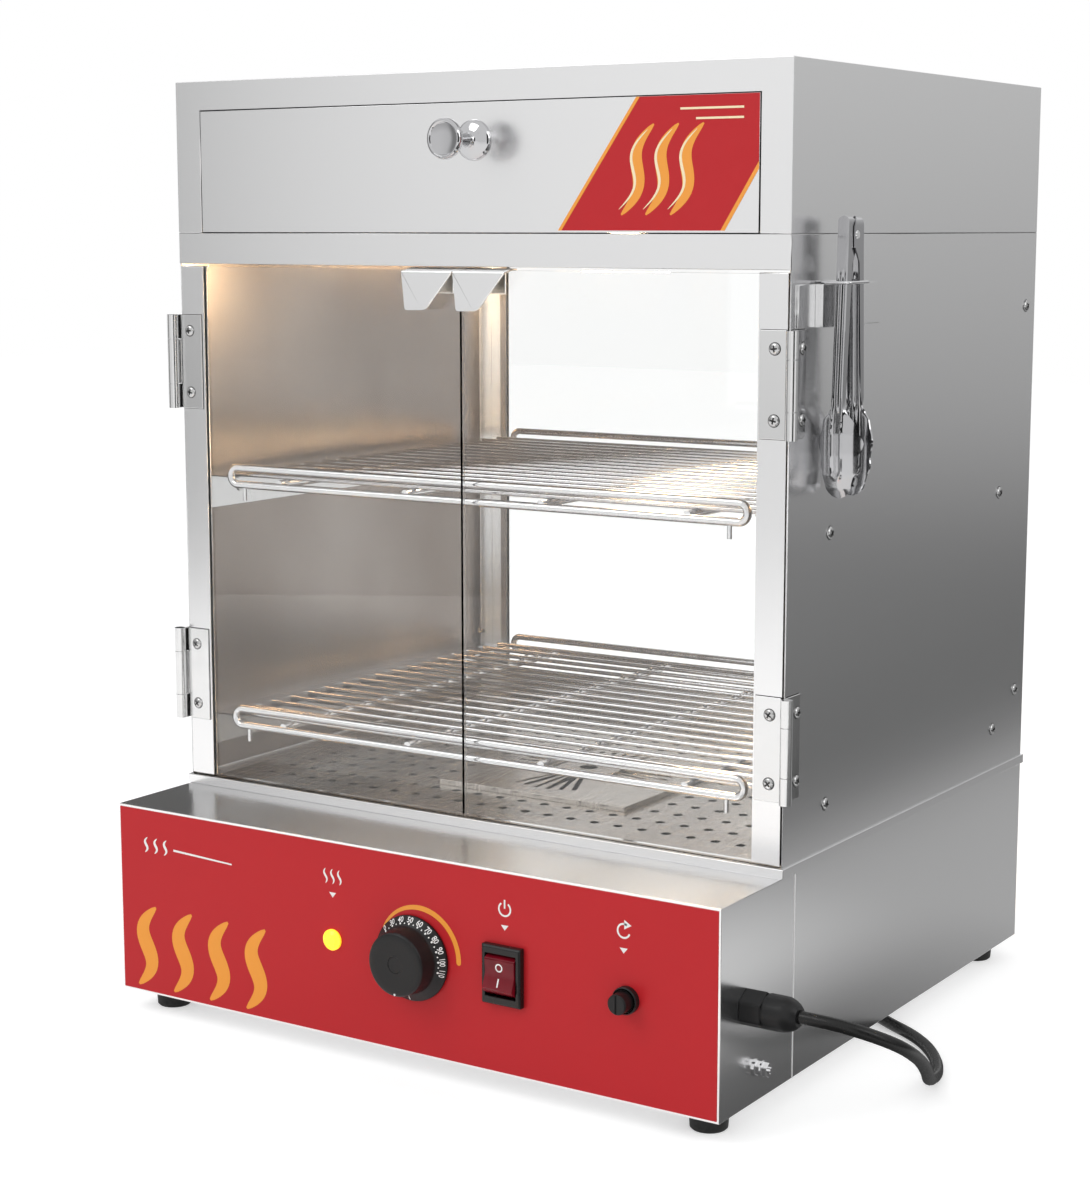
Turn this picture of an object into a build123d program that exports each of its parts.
from build123d import *
import math
import os

# Countertop hot dog steamer: a heated water pan in the base, a glass-fronted chamber with
# two wire racks, and a drawer in the hood. Lengths are millimetres.
# X runs to the right, Y to the back and Z up. The origin lies on the floor, on the
# cabinet's centre line, midway between the control panel and the rear wall.

# ---------------------------------------------------------------- driving dimensions

CABINET_WIDTH = 440.0
OVERALL_DEPTH = 425.0
CONSOLE_DEPTH = 70.0
FOOT_HEIGHT = 14.0
BASE_HEIGHT = 122.5
RIM_HEIGHT = 6.0
CHAMBER_HEIGHT = 355.0
HOOD_HEIGHT = 94.5
SHEET = 1.0
SLIDE_GAP = 0.4
HOLE_GAP = 0.2

WALL_X = CABINET_WIDTH / 2
INNER_X = WALL_X - SHEET
PANEL_Y = -OVERALL_DEPTH / 2
FRONT_Y = PANEL_Y + CONSOLE_DEPTH
BACK_Y = OVERALL_DEPTH / 2
BASE_Z = FOOT_HEIGHT
RIM_Z = BASE_Z + BASE_HEIGHT
CHAMBER_Z = RIM_Z + RIM_HEIGHT
HOOD_Z = CHAMBER_Z + CHAMBER_HEIGHT
TOP_Z = HOOD_Z + HOOD_HEIGHT

# Base: how far the side seam lies behind the cabinet front, and how far the console's
# top runs back under the rim.
SEAM_SETBACK = 17.0
CONSOLE_LAP = 12.0
SEAM_Y = FRONT_Y + SEAM_SETBACK
FILM_THICKNESS = 0.4
FILM_MARGIN = 1.5
FILM_Y = PANEL_Y - FILM_THICKNESS

# Rubber feet with a pocket for the screw head.
FOOT_SOLE_RADIUS = 11.0
FOOT_TOP_RADIUS = 12.0
FOOT_POCKET_RADIUS = 5.0
FOOT_POCKET_DEPTH = 5.0
FOOT_SIDE_INSET = 20.5
FOOT_FRONT_INSET = 25.7
FOOT_REAR_INSET = 22.0
SCREW_RADIUS = 2.0
SCREW_HEAD_RADIUS = 3.75
SCREW_HEAD_HEIGHT = 2.0
SCREW_REACH = 5.0

# Rim between base and chamber, with an inner ledge for pan and tray.
RIM_OVERHANG = 1.5
RIM_INSIDE = 2.0
LEDGE_WIDTH = 12.0

# Water pan, perforated tray and steam cover.
PAN_GAP = 1.5
PAN_DEPTH = 50.0
PAN_FLANGE = 9.0
TRAY_MARGIN = 0.5
TRAY_LIFT_GAP = 0.7
TRAY_BORDER = 12.5
TRAY_RISE = 3.0
TRAY_HOLE_RADIUS = 3.0
TRAY_PITCH_X = 17.0
TRAY_PITCH_Y = 22.0
TRAY_EDGE = 12.0
STEAM_PORT_RADIUS = 45.0
COVER_SIZE = 142.0
COVER_Y = 5.0
COVER_SIDE = 3.5
COVER_CROWN = 3.0
COVER_HOLE_RADIUS = 6.0
COVER_SLOT_START = 22.0
COVER_SLOT_END = 58.0
COVER_SLOT_WIDTH = 3.0
COVER_SLOT_STEP = 9.0

# Heating element under the pan.
ELEMENT_RADIUS = 4.0
ELEMENT_BEND = 28.0
ELEMENT_OUTER_X = 90.0
ELEMENT_INNER_X = 30.0
ELEMENT_FRONT_SETBACK = 30.5
ELEMENT_REAR_SETBACK = 62.5
ELEMENT_MIDDLE_SETBACK = 52.0
TERMINAL_PIN_RADIUS = 2.0
TERMINAL_PIN_LENGTH = 10.0

# Header over the doors, rear frame and fixed glass.
HEADER_HEIGHT = 19.5
HEADER_RETURN = 14.0
HEADER_Z = HOOD_Z - HEADER_HEIGHT
FRAME_STILE = 18.5
FRAME_TOP = 19.5
FRAME_FLANGE = 16.0
GLASS_THICKNESS = 4.0
GLASS_LAP = 4.5

# Doors.
DOOR_SIDE_GAP = 1.5
DOOR_BOTTOM_GAP = 1.3
DOOR_TOP_GAP = 1.5
STILE_WIDTH = 18.0
MEETING_GAP = 1.5
DOOR_GLASS_LAP = 5.5

# Bent sheet handles, both the same hand.
HANDLE_SHEET = 1.2
HANDLE_WIDTH = 36.6
HANDLE_PROJECTION = 8.4
HANDLE_DROP = 24.0
HANDLE_FOOT_WIDTH = 30.0
HANDLE_FOOT_DROP = 14.0
HANDLE_GAP = 0.9
HANDLE_SLOPE = 2.0

# Butt hinges on the cabinet's front corners.
HINGE_LENGTH = 60.0
HINGE_UPPER_Z = 273.0
HINGE_LOWER_Z = 68.5
HINGE_LEAF = 1.2
BARREL_RADIUS = 3.5
BARREL_OUT_X = 3.6
BARREL_OUT_Y = 4.0
KNUCKLE_END = 15.5
KNUCKLE_GAP = 0.4
PIN_RADIUS = 1.8
PIN_FIT = 0.08
DOOR_LEAF_REACH = 21.5
CABINET_LEAF_REACH = 17.5
HINGE_SCREW_SPACING = 39.5
HINGE_SCREW_RADIUS = 1.5
HINGE_SCREW_HEAD_RADIUS = 3.4
HINGE_SCREW_HEAD_HEIGHT = 1.5
DOOR_SCREW_INSET = 8.5
SIDE_SCREW_SETBACK = 13.5
LEAF_SPACE = 0.5

# Racks and their rails.
UPPER_RACK_LEVEL = 199.5
LOWER_RACK_LEVEL = 40.5
WIRE_RADIUS = 1.5
RACK_BAR_RADIUS = 2.5
RACK_PITCH = 19.0
RACK_WELD = 0.4
RACK_HALF_WIDTH = 198.0
RACK_FRONT_SETBACK = 12.5
RACK_REAR_SETBACK = 13.5
RACK_BAR_OFFSET = 5.5
RACK_BAR_HALF = 184.0
RACK_LEG_X = 178.0
RACK_LEG_DROP = 10.0
RACK_SUPPORTS = (-150.0, -50.0, 50.0, 150.0)
RAIL_FRONT_SETBACK = 20.5
RAIL_REAR_SETBACK = 17.5
RAIL_WIDTH = 29.0
RAIL_HEIGHT = 22.5
RAIL_SLOT_PITCH = 18.0
RAIL_SLOT_LENGTH = 8.0
RAIL_SLOT_WIDTH = 5.0
RAIL_SLOT_INSET = 13.0
RAIL_SCREW_DROP = 13.5
RAIL_SCREW_FRONT = 33.0
RAIL_SCREW_REAR = 35.0
FRAME_SCREW_SETBACK = 15.5
FRAME_SCREW_INSET = 48.0

# Chamber lamp under the ceiling.
CHAMBER_LAMP_SETBACK = 182.5
CHAMBER_LAMP_DROP = 10.5
CHAMBER_LAMP_X = -45.0

# Hood drawer.
DRAWER_HALF_WIDTH = 200.0
DRAWER_HEIGHT = 75.5
DRAWER_JOINT_GAP = 0.5
DRAWER_BOX_INSET = 10.0
DRAWER_BOX_DEPTH = 58.0
DRAWER_LENGTH = 330.0
RUNNER_RISE = 6.0
RUNNER_WIDTH = 31.0
RUNNER_HEIGHT = 18.0
RUNNER_LENGTH = 340.0
DRAWER_PLAY = 0.3
DRAWER_KNOB_X = 10.8
DRAWER_KNOB_Z = 54.0
KNOB_ROSETTE_RADIUS = 12.0
KNOB_STEM_RADIUS = 3.4
KNOB_DISC_RADIUS = 12.0
KNOB_LENGTH = 32.0
KNOB_THREAD_DEPTH = 10.0

# Control panel.
CONTROL_Z = 61.0
LAMP_X = -47.0
LAMP_RADIUS = 6.5
LAMP_PROJECTION = 3.5
LAMP_BODY_RADIUS = 5.0
LAMP_BODY_LENGTH = 22.0
DIAL_X = 13.0
DIAL_Z = 60.0
SHAFT_RADIUS = 3.0
SHAFT_FIT = 0.05
BUSHING_RADIUS = 5.0
THERMOSTAT_DEPTH = 34.0
DIAL_RADIUS = 26.0
DIAL_SKIRT = 4.0
DIAL_GRIP_RADIUS = 20.0
DIAL_LENGTH = 18.0
DIAL_STANDOFF = 0.6
DIAL_BORE_DEPTH = 12.0
SWITCH_X = 78.5
BEZEL_WIDTH = 27.0
BEZEL_HEIGHT = 35.5
BEZEL_THICKNESS = 5.0
ROCKER_WIDTH = 20.4
ROCKER_RADIUS = 12.4
ROCKER_FRONT = 9.0
ROCKER_BACK = 3.0
ROCKER_DISH = 1.8
ROCKER_TILT = 8.0
ROCKER_PIVOT_DEPTH = 6.4
ROCKER_PIN_RADIUS = 1.5
ROCKER_PIN_LENGTH = 1.4
ROCKER_PIN_FIT = 0.06
SWITCH_WALL = 1.6
SWITCH_DEPTH = 24.0
RESET_X = 161.0
RESET_COLLAR_RADIUS = 8.0
RESET_COLLAR_LENGTH = 4.0
RESET_NECK_RADIUS = 7.4
RESET_BUTTON_RADIUS = 6.0
RESET_BUTTON_FRONT = 12.5
RESET_BUTTON_GAP = 0.4
RESET_TRAVEL = 2.5
RESET_BODY_RADIUS = 14.0
RESET_BODY_LENGTH = 22.0

# Power inlet side.
TERMINAL_SIDE_SETBACK = 80.0
TERMINAL_FRONT_SETBACK = 24.0
GLAND_SETBACK = 30.5
GLAND_Z = 59.0
GLAND_NUT_RADIUS = 12.0
GLAND_NUT_LENGTH = 6.0
GLAND_THREAD_RADIUS = 8.0
GLAND_BODY_RADIUS = 11.0
GLAND_BODY_LENGTH = 13.0
GLAND_DOME_RADIUS = 10.4
GLAND_LENGTH = 33.0
GLAND_TIP_RADIUS = 6.2
EARTH_SETBACK = 42.5
EARTH_Z = 20.0
EARTH_STUD_RADIUS = 2.0
EARTH_PROJECTION = 10.0
NUT_RADIUS = 4.4
NUT_THICKNESS = 3.2
WASHER_RADIUS = 5.0
WASHER_THICKNESS = 1.0

# Tongs holder on the right wall.
HOLDER_HEIGHT = 24.0
HOLDER_TOP = 327.5
HOLDER_SHEET = 1.2
HOLDER_STANDOFF = 4.5
HOLDER_FRONT_SETBACK = 7.5
HOLDER_TAB = 21.0
HOLDER_PLATE = 52.0
HOLDER_REAR_TAB = 25.4

# Tongs.
TONGS_OUT_X = 14.0
TONGS_SETBACK = 43.0
TONGS_SHEET = 0.8
TONGS_FRONT_WIDTH = 7.0
TONGS_REAR_WIDTH = 9.4
TONGS_TOP = 37.5
TONGS_HEAD_DROP = 118.0
TONGS_TIP_DROP = 119.5
TONGS_FACE_TOP = 7.9
TONGS_FACE_BOTTOM = 12.5
TONGS_HEAD_WIDTH = 26.5
TONGS_HEAD_RADIUS = 17.0
TONGS_RIVET_RADIUS = 1.5
TONGS_RIVET_FIT = 0.06
TONGS_EAR_RADIUS = 5.5
TONGS_RIVET_RISE = 27.0
TONGS_RIB = 0.6
RING_WIRE = 0.9
RING_FRONT = 11.6
RING_REAR = 13.0
RING_INNER_X = 2.4
RING_OUTER_X = 20.2
RING_CORNER = 2.2

# Supply cord.
CORD_RADIUS = 3.75
COIL_RADIUS = 49.0
COIL_STEP = 8.2
COIL_RISE = 8.2
COIL_HALF_TURNS = 4
COIL_START = (60.0, 232.0)
COIL_TAIL = 34.0
PLUG_LENGTH = 40.0
PLUG_HALF_WIDTH = 12.5
BLADE_LENGTH = 17.0
BLADE_SPACING = 12.7
BLADE_WIDTH = 6.35
BLADE_THICKNESS = 1.5
EARTH_PIN_RADIUS = 2.4

CORD_ROUTE = (
    (253.0, -182.0, 73.0),
    (270.0, -182.0, 73.0),
    (285.6, -176.3, 69.6),
    (297.4, -165.8, 63.4),
    (303.5, -152.2, 55.3),
    (302.0, -128.0, 41.0),
    (293.5, -100.0, 23.5),
    (283.0, -74.0, 9.0),
    (277.0, -46.0, 3.75),
    (262.0, -18.0, 3.75),
    (240.0, 6.0, 3.75),
    (208.0, 24.0, 3.75),
    (176.0, 50.0, 3.75),
    (158.0, 88.0, 3.75),
    (153.0, 132.0, 3.75),
    (146.0, 174.0, 3.75),
    (126.0, 212.0, 3.75),
    (95.0, 232.0, 3.75),
    (60.0, 232.0, 3.75),
)

# ---------------------------------------------------------------- shape helpers


def block(x_range, y_range, z_range):
    """Box between two values on each axis."""
    sizes = [abs(high - low) for low, high in (x_range, y_range, z_range)]
    middle = [(high + low) / 2 for low, high in (x_range, y_range, z_range)]
    return Pos(*middle) * Box(*sizes)


def rod(start, direction, length, radius):
    """Cylinder that starts at a point and runs along a direction."""
    base = Plane(origin=start, z_dir=direction)
    return base.location * Pos(0, 0, length / 2) * Cylinder(radius, length)


def turned(start, direction, outline):
    """Solid of revolution about a direction; the outline holds (radius, distance) corners."""
    corners = [(radius, 0, along) for radius, along in outline]
    profile = make_face(Polyline(*corners, close=True))
    return Plane(origin=start, z_dir=direction).location * revolve(profile, Axis.Z)


def side_plate(outline, x_low, x_high):
    """Outline of (y, z) corners carried along X."""
    corners = [(x_low, y, z) for y, z in outline]
    face = make_face(Polyline(*corners, close=True))
    return extrude(face, amount=x_high - x_low, dir=(1, 0, 0))


def swept_rod(path, radius):
    """Round bar along a path."""
    section = Plane(origin=path @ 0, z_dir=path % 0) * Circle(radius)
    return sweep(section, path=path)


def mirrored(shape):
    """The same piece on the other side of the cabinet."""
    return mirror(shape, about=Plane.YZ)


def joined(pieces):
    """One body of several overlapping or separate pieces."""
    return Part() + pieces


# ---------------------------------------------------------------- base


def foot_positions():
    """Centres of the four feet on the floor."""
    x = WALL_X - FOOT_SIDE_INSET
    rows = (PANEL_Y + FOOT_FRONT_INSET, BACK_Y - FOOT_REAR_INSET)
    return [(side * x, y) for side in (-1, 1) for y in rows]


def make_feet():
    hole = SCREW_RADIUS + HOLE_GAP
    outline = [
        (hole, FOOT_POCKET_DEPTH),
        (FOOT_POCKET_RADIUS, FOOT_POCKET_DEPTH),
        (FOOT_POCKET_RADIUS, 0),
        (FOOT_SOLE_RADIUS - 1, 0),
        (FOOT_SOLE_RADIUS, 1),
        (FOOT_TOP_RADIUS, FOOT_HEIGHT),
        (hole, FOOT_HEIGHT),
    ]
    return joined([turned((x, y, 0), (0, 0, 1), outline) for x, y in foot_positions()])


def pan_head_screw(seat, direction, reach, radius, head_radius, head_height):
    """Screw whose head rests on a seat and whose shank runs along a direction."""
    axis = Vector(*direction)
    seat_point = Vector(*seat)
    crown = head_height * 0.35
    outline = [
        (0, 0),
        (head_radius * 0.7, 0),
        (head_radius, crown),
        (head_radius, head_height),
        (radius, head_height),
        (radius, head_height + reach),
        (0, head_height + reach),
    ]
    return turned(seat_point - axis * head_height, axis, outline)


def foot_screws():
    reach = FOOT_HEIGHT - FOOT_POCKET_DEPTH + SHEET + SCREW_REACH
    return [
        pan_head_screw((x, y, FOOT_POCKET_DEPTH), (0, 0, 1), reach,
                       SCREW_RADIUS, SCREW_HEAD_RADIUS, SCREW_HEAD_HEIGHT)
        for x, y in foot_positions()
    ]


def make_bottom_plate():
    plate = block((-INNER_X, INNER_X), (PANEL_Y + SHEET, BACK_Y - SHEET), (BASE_Z, BASE_Z + SHEET))
    for x, y in foot_positions():
        plate -= rod((x, y, BASE_Z - SHEET), (0, 0, 1), 3 * SHEET, SCREW_RADIUS)
    return plate


def make_base_shell():
    heights = (BASE_Z, RIM_Z)
    left = block((-WALL_X, -INNER_X), (SEAM_Y, BACK_Y), heights)
    right = block((INNER_X, WALL_X), (SEAM_Y, BACK_Y), heights)
    back = block((-WALL_X, WALL_X), (BACK_Y - SHEET, BACK_Y), heights)
    return joined([left, right, back])


def panel_openings():
    """Cutters for the lamp, thermostat, switch and reset on the control panel."""
    depth = 6 * SHEET
    start = FILM_Y - depth / 2
    z = BASE_Z + CONTROL_Z
    forward = (0, 1, 0)
    half_width = ROCKER_WIDTH / 2 + SLIDE_GAP + SWITCH_WALL + HOLE_GAP
    half_height = ROCKER_RADIUS + SLIDE_GAP + SWITCH_WALL + HOLE_GAP
    return [
        rod((LAMP_X, start, z), forward, depth, LAMP_BODY_RADIUS + HOLE_GAP),
        rod((DIAL_X, start, BASE_Z + DIAL_Z), forward, depth, BUSHING_RADIUS + HOLE_GAP),
        rod((RESET_X, start, z), forward, depth, RESET_NECK_RADIUS + HOLE_GAP),
        block((SWITCH_X - half_width, SWITCH_X + half_width), (start, start + depth),
              (z - half_height, z + half_height)),
    ]


def make_control_housing():
    heights = (BASE_Z, RIM_Z)
    front = block((-WALL_X, WALL_X), (PANEL_Y, PANEL_Y + SHEET), heights)
    top = block((-WALL_X, WALL_X), (PANEL_Y, FRONT_Y + CONSOLE_LAP), (RIM_Z - SHEET, RIM_Z))
    left = block((-WALL_X, -INNER_X), (PANEL_Y, SEAM_Y), heights)
    right = block((INNER_X, WALL_X), (PANEL_Y, SEAM_Y), heights)
    housing = joined([front, top, left, right])
    for cutter in panel_openings():
        housing -= cutter
    across = (1, 0, 0)
    inside = INNER_X - SHEET
    gland_hole = (inside, PANEL_Y + GLAND_SETBACK, BASE_Z + GLAND_Z)
    earth_hole = (inside, PANEL_Y + EARTH_SETBACK, BASE_Z + EARTH_Z)
    housing -= rod(gland_hole, across, 3 * SHEET, GLAND_THREAD_RADIUS + HOLE_GAP)
    housing -= rod(earth_hole, across, 3 * SHEET, EARTH_STUD_RADIUS + HOLE_GAP)
    return housing


def make_panel_film():
    half = WALL_X - FILM_MARGIN
    film = block((-half, half), (FILM_Y, PANEL_Y), (BASE_Z + FILM_MARGIN, RIM_Z - FILM_MARGIN))
    for cutter in panel_openings():
        film -= cutter
    return film


def rim_inside():
    """Inner faces of the rim: half width, front and back."""
    return WALL_X - RIM_INSIDE, FRONT_Y + RIM_INSIDE, BACK_Y - RIM_INSIDE


def ledge_opening():
    """Opening inside the ledge: half width, front and back."""
    half, front, back = rim_inside()
    return half - LEDGE_WIDTH, front + LEDGE_WIDTH, back - LEDGE_WIDTH


def make_plinth_rim():
    outer_x = WALL_X + RIM_OVERHANG
    inner_x, inner_front, inner_back = rim_inside()
    open_x, open_front, open_back = ledge_opening()
    ring = block((-outer_x, outer_x), (FRONT_Y - RIM_OVERHANG, BACK_Y + RIM_OVERHANG),
                 (RIM_Z, CHAMBER_Z))
    ring -= block((-inner_x, inner_x), (inner_front, inner_back), (RIM_Z + SHEET, CHAMBER_Z))
    ring -= block((-open_x, open_x), (open_front, open_back), (RIM_Z, RIM_Z + SHEET))
    return ring


# ---------------------------------------------------------------- pan, tray and heat

PAN_FLANGE_Z = RIM_Z + SHEET
PAN_FLOOR_Z = PAN_FLANGE_Z - PAN_DEPTH
TRAY_Z = PAN_FLANGE_Z + SHEET


def make_water_pan():
    """Floor plate and four flanged sides, welded at the corners and round the floor."""
    open_x, open_front, open_back = ledge_opening()
    x, front, back = open_x - PAN_GAP, open_front + PAN_GAP, open_back - PAN_GAP
    lap = PAN_GAP + PAN_FLANGE
    heights, lip = (PAN_FLOOR_Z, TRAY_Z), (PAN_FLANGE_Z, TRAY_Z)
    floor = block((-x + SHEET, x - SHEET), (front + SHEET, back - SHEET),
                  (PAN_FLOOR_Z, PAN_FLOOR_Z + SHEET))
    front_side = (block((-x, x), (front, front + SHEET), heights)
                  + block((-x - lap, x + lap), (front - lap, front), lip))
    back_side = (block((-x, x), (back - SHEET, back), heights)
                 + block((-x - lap, x + lap), (back, back + lap), lip))
    end = (block((x - SHEET, x), (front + SHEET, back - SHEET), heights)
           + block((x, x + lap), (front, back), lip))
    plates = [floor, front_side, back_side, end, mirrored(end)]
    return Compound([plate.solids()[0] for plate in plates])


def tray_holes(half_x, front, back):
    """Centres of the tray's perforations, outside the steam cover."""
    keep_out = COVER_SIZE / 2 + TRAY_HOLE_RADIUS
    columns = int((half_x - TRAY_EDGE) / TRAY_PITCH_X)
    rows = int(((back - front) / 2 - TRAY_EDGE) / TRAY_PITCH_Y)
    middle_y = (front + back) / 2
    centres = []
    for column in range(-columns, columns + 1):
        for row in range(-rows, rows + 1):
            x, y = column * TRAY_PITCH_X, middle_y + row * TRAY_PITCH_Y
            if max(abs(x), abs(y - COVER_Y)) > keep_out:
                centres.append((x, y))
    return centres


def make_perforated_tray():
    inner_x, inner_front, inner_back = rim_inside()
    x = inner_x - TRAY_MARGIN
    front = max(inner_front + TRAY_MARGIN, STILE_BACK_Y + TRAY_LIFT_GAP)
    rear_lip = BACK_Y - 2 * SHEET - GLASS_THICKNESS
    back = min(inner_back - TRAY_MARGIN, rear_lip - TRAY_LIFT_GAP)
    flat_x, flat_front, flat_back = x - TRAY_BORDER, front + TRAY_BORDER, back - TRAY_BORDER
    floor = Pos(0, (flat_front + flat_back) / 2, 0) * Rectangle(2 * flat_x, flat_back - flat_front)
    floor -= [Pos(cx, cy) * Circle(TRAY_HOLE_RADIUS)
              for cx, cy in tray_holes(flat_x, flat_front, flat_back)]
    floor -= Pos(0, COVER_Y) * Circle(STEAM_PORT_RADIUS)
    plate = Pos(0, 0, TRAY_Z) * extrude(floor, amount=SHEET)
    outer = loft([
        Pos(0, (flat_front + flat_back) / 2, TRAY_Z) * Rectangle(2 * flat_x, flat_back - flat_front),
        Pos(0, (front + back) / 2, TRAY_Z + TRAY_RISE) * Rectangle(2 * x, back - front),
    ], ruled=True)
    inner = loft([
        Pos(0, (flat_front + flat_back) / 2, TRAY_Z + SHEET)
        * Rectangle(2 * flat_x, flat_back - flat_front),
        Pos(0, (front + back) / 2, TRAY_Z + SHEET + TRAY_RISE) * Rectangle(2 * x, back - front),
    ], ruled=True)
    well = block((-flat_x, flat_x), (flat_front, flat_back), (TRAY_Z, TRAY_Z + SHEET))
    return outer - inner - well + plate


def pyramid(size, side, crown, z):
    """Low square cap with upright sides and a raised middle."""
    sides = Pos(0, COVER_Y, z + side / 2) * Box(size, size, side)
    top = loft([
        Pos(0, COVER_Y, z + side) * Rectangle(size, size),
        Pos(0, COVER_Y, z + side + crown) * Rectangle(size / 6, size / 6),
    ], ruled=True)
    return sides + top


def make_steam_cover():
    z = TRAY_Z + SHEET
    cover = pyramid(COVER_SIZE, COVER_SIDE, COVER_CROWN, z)
    cover -= pyramid(COVER_SIZE - 2 * SHEET, COVER_SIDE - SHEET, COVER_CROWN, z)
    cutters = [rod((0, COVER_Y, z), (0, 0, 1), 2 * COVER_SIDE + COVER_CROWN, COVER_HOLE_RADIUS)]
    length = COVER_SLOT_END - COVER_SLOT_START
    reach = (COVER_SLOT_START + COVER_SLOT_END) / 2
    slot = Pos(reach, 0, 0) * Box(length, COVER_SLOT_WIDTH, 4 * (COVER_SIDE + COVER_CROWN))
    for quarter in range(4):
        for index in range(-2, 4):
            turn = Rot(0, 0, 90 * quarter + (index - 0.5) * COVER_SLOT_STEP)
            cutters.append(Pos(0, COVER_Y, z) * turn * slot)
    for cutter in cutters:
        cover -= cutter
    return cover


def make_heating_element():
    z = PAN_FLOOR_Z - ELEMENT_RADIUS
    front_y, rear_y = FRONT_Y + ELEMENT_FRONT_SETBACK, BACK_Y - ELEMENT_REAR_SETBACK
    middle_y = front_y + ELEMENT_MIDDLE_SETBACK
    corners = [
        (-ELEMENT_OUTER_X, front_y, z),
        (-ELEMENT_OUTER_X, rear_y, z),
        (-ELEMENT_INNER_X, rear_y, z),
        (-ELEMENT_INNER_X, middle_y, z),
        (ELEMENT_INNER_X, middle_y, z),
        (ELEMENT_INNER_X, rear_y, z),
        (ELEMENT_OUTER_X, rear_y, z),
        (ELEMENT_OUTER_X, front_y, z),
    ]
    element = swept_rod(FilletPolyline(*corners, radius=ELEMENT_BEND), ELEMENT_RADIUS)
    pins = [rod((side * ELEMENT_OUTER_X, front_y + 1, z), (0, -1, 0),
                TERMINAL_PIN_LENGTH + 1, TERMINAL_PIN_RADIUS) for side in (-1, 1)]
    return joined([element] + pins)


# ---------------------------------------------------------------- chamber


def make_side_panel(side):
    panel = block((INNER_X, WALL_X), (FRONT_Y + SHEET, BACK_Y), (CHAMBER_Z, HOOD_Z))
    for screw_side, seat, radius in side_screw_seats():
        if screw_side == side:
            y, z = seat
            panel -= rod((INNER_X - SHEET, y, z), (1, 0, 0), 3 * SHEET, radius)
    return panel if side > 0 else mirrored(panel)


def make_header_rail():
    face = block((-WALL_X, WALL_X), (FRONT_Y, FRONT_Y + SHEET), (HEADER_Z, HOOD_Z))
    fold = block((-INNER_X, INNER_X), (FRONT_Y, FRONT_Y + HEADER_RETURN), (HEADER_Z, HEADER_Z + SHEET))
    return face + fold


def make_chamber_ceiling():
    return block((-INNER_X, INNER_X), (FRONT_Y + SHEET, BACK_Y - SHEET), (HOOD_Z - SHEET, HOOD_Z))


def window():
    """Rear window: half width, bottom and top."""
    return WALL_X - FRAME_STILE, CHAMBER_Z + FRAME_TOP, HOOD_Z - FRAME_TOP


def make_rear_frame():
    half, low, high = window()
    back_face = BACK_Y - SHEET
    glass_face = back_face - GLASS_THICKNESS
    top = HOOD_Z - SHEET
    channel_x = half + GLASS_LAP
    sheet = block((-INNER_X, INNER_X), (back_face, BACK_Y), (CHAMBER_Z, top))
    lip = block((-channel_x - SHEET, channel_x + SHEET), (glass_face - SHEET, back_face),
                (low - GLASS_LAP - SHEET, high + GLASS_LAP + SHEET))
    lip -= block((-channel_x, channel_x), (glass_face, back_face), (low - GLASS_LAP, high + GLASS_LAP))
    frame = sheet + lip
    for side in (-1, 1):
        edges = sorted((side * INNER_X, side * (INNER_X - SHEET)))
        frame += block(edges, (back_face - FRAME_FLANGE, back_face), (CHAMBER_Z, top))
    frame -= block((-half, half), (glass_face - 2 * SHEET, BACK_Y + SHEET), (low, high))
    for side, seat, radius in side_screw_seats():
        y, z = seat
        frame -= rod((side * (INNER_X - 2 * SHEET), y, z), (side, 0, 0), 3 * SHEET, radius)
    return frame


def make_rear_glass():
    half, low, high = window()
    x = half + GLASS_LAP
    face = BACK_Y - SHEET
    return block((-x, x), (face - GLASS_THICKNESS, face), (low - GLASS_LAP, high + GLASS_LAP))


def make_rack_rails(level):
    top = CHAMBER_Z + level - WIRE_RADIUS
    y_range = (FRONT_Y + RAIL_FRONT_SETBACK, BACK_Y - RAIL_REAR_SETBACK)
    rail = block((INNER_X - RAIL_WIDTH, INNER_X), y_range, (top - SHEET, top))
    rail += block((INNER_X - SHEET, INNER_X), y_range, (top - RAIL_HEIGHT, top))
    length = y_range[1] - y_range[0]
    count = int((length - 2 * RAIL_SLOT_LENGTH) / RAIL_SLOT_PITCH)
    x = INNER_X - RAIL_SLOT_INSET
    first = (y_range[0] + y_range[1]) / 2 - count * RAIL_SLOT_PITCH / 2
    for index in range(count + 1):
        y = first + index * RAIL_SLOT_PITCH
        rail -= block((x - RAIL_SLOT_WIDTH / 2, x + RAIL_SLOT_WIDTH / 2),
                      (y - RAIL_SLOT_LENGTH / 2, y + RAIL_SLOT_LENGTH / 2), (top - 2 * SHEET, top + SHEET))
    for side, seat, radius in side_screw_seats():
        y, z = seat
        if side > 0:
            rail -= rod((INNER_X - 2 * SHEET, y, z), (1, 0, 0), 3 * SHEET, radius)
    return joined([rail, mirrored(rail)])


def rack_bar(y, z):
    """Long closed wire loop across the front or back of a rack."""
    outline = SlotCenterToCenter(2 * RACK_BAR_HALF, 2 * RACK_BAR_OFFSET)
    return swept_rod(Pos(0, y, z) * Rot(90, 0, 0) * outline.wire(), RACK_BAR_RADIUS)


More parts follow.
